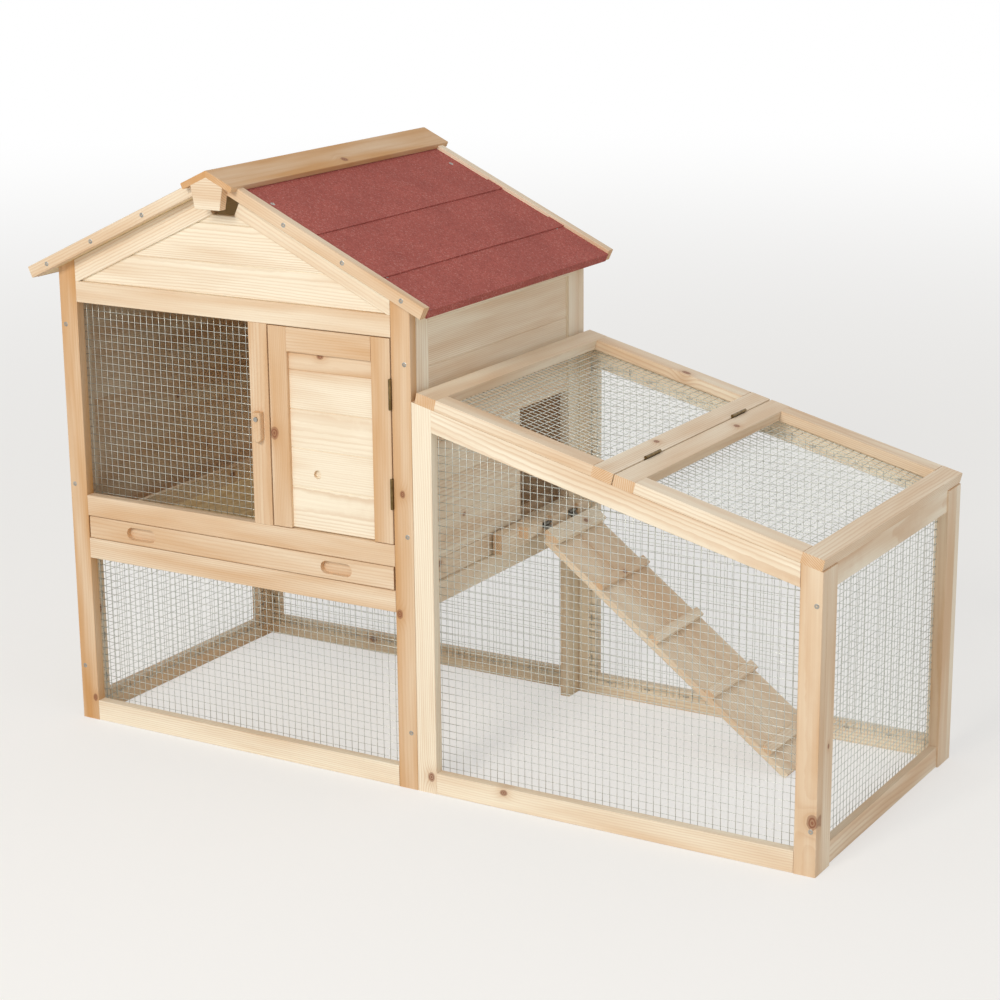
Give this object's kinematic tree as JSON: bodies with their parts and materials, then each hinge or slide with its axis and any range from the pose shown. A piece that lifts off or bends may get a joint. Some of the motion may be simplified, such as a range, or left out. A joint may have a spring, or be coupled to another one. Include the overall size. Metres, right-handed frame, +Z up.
{
  "type": "small animal hutch",
  "caption": "Two-storey wooden hutch with a felted gable roof, a hinged door, a pull-out tray and a sloping netted run with a ramp.",
  "frame": {"origin": "on the ground, under the middle of the bounding box", "axes": "+X along the front from the house to the run, +Y to the back, +Z up"},
  "size_m": [1.4434, 0.644, 0.9911],
  "materials": {
    "pine": "planed, oiled pine",
    "plywood": "thin softwood plywood",
    "red_felt": "brick red mineral roofing felt",
    "galvanised_wire": "galvanised welded net",
    "zinc_steel": "zinc plated"
  },
  "bodies": {
    "house": {"back_boards": "pine", "back_frame": "pine", "back_gable_laths": "pine", "back_mesh": "galvanised_wire", "barge_laths_back": "pine", "barge_laths_front": "pine", "door_hinge_fixed_leaves": "zinc_steel", "door_hinge_pins": "zinc_steel", "doorway_post": "pine", "front_centre_stile": "pine", "front_foot_rail": "pine", "front_gable_boards": "pine", "front_gable_laths": "pine", "front_head_rail": "pine", "front_lower_mesh": "galvanised_wire", "front_sill_rail": "pine", "front_stile_left": "pine", "front_stile_right": "pine", "front_tray_rail": "pine", "left_boards": "pine", "left_frame": "pine", "left_mesh": "galvanised_wire", "lid_hinge_fixed_leaves": "zinc_steel", "lid_hinge_pins": "zinc_steel", "ramp_cleat": "pine", "ramp_hook_pins": "zinc_steel", "ramp_ledge": "pine", "ridge_boards": "pine", "ridge_end_blocks": "pine", "right_boards": "pine", "right_frame": "pine", "roof_deck_left": "plywood", "roof_deck_right": "plywood", "roof_felt_left": "red_felt", "roof_felt_right": "red_felt", "run_back_frame": "pine", "run_back_mesh": "galvanised_wire", "run_end_frame": "pine", "run_end_mesh": "galvanised_wire", "run_front_frame": "pine", "run_front_mesh": "galvanised_wire", "run_top_frame": "pine", "run_top_mesh": "galvanised_wire", "tray_runners": "pine", "turn_button_screw": "zinc_steel", "window_mesh": "galvanised_wire"},
    "door": {"door_frame": "pine", "door_boards": "pine", "door_hinge_moving_leaves": "zinc_steel"},
    "turn_button": {"turn_button": "pine"},
    "tray": {"tray_front": "pine", "tray_bottom": "plywood", "tray_walls": "pine"},
    "run_lid": {"run_lid_frame": "pine", "run_lid_mesh": "galvanised_wire", "lid_hinge_moving_leaves": "zinc_steel"},
    "ramp": {"ramp_planks": "pine", "ramp_battens": "pine", "ramp_hooks": "zinc_steel"}
  },
  "joints": [
    {"name": "door_hinge", "type": "hinge", "parent": "house", "child": "door", "pos_m": [-0.01519, -0.283, 0.575], "axis": [0, 0, 1], "range_deg": [0, 170]},
    {"name": "button_turn", "type": "hinge", "parent": "house", "child": "turn_button", "pos_m": [-0.26969, -0.286, 0.589], "axis": [0, -1, 0], "range_deg": [0, 90]},
    {"name": "tray_slide", "type": "slide", "parent": "house", "child": "tray", "axis": [0, -1, 0], "range_m": [0, 0.45]},
    {"name": "lid_hinge", "type": "hinge", "parent": "house", "child": "run_lid", "pos_m": [0.38043, 0, 0.58055], "axis": [0, -1, 0], "range_deg": [0, 170]},
    {"name": "ramp_hinge", "type": "hinge", "parent": "house", "child": "ramp", "pos_m": [0.05381, 0.145, 0.363], "axis": [0, -1, 0], "range_deg": [0, 45]}
  ]
}
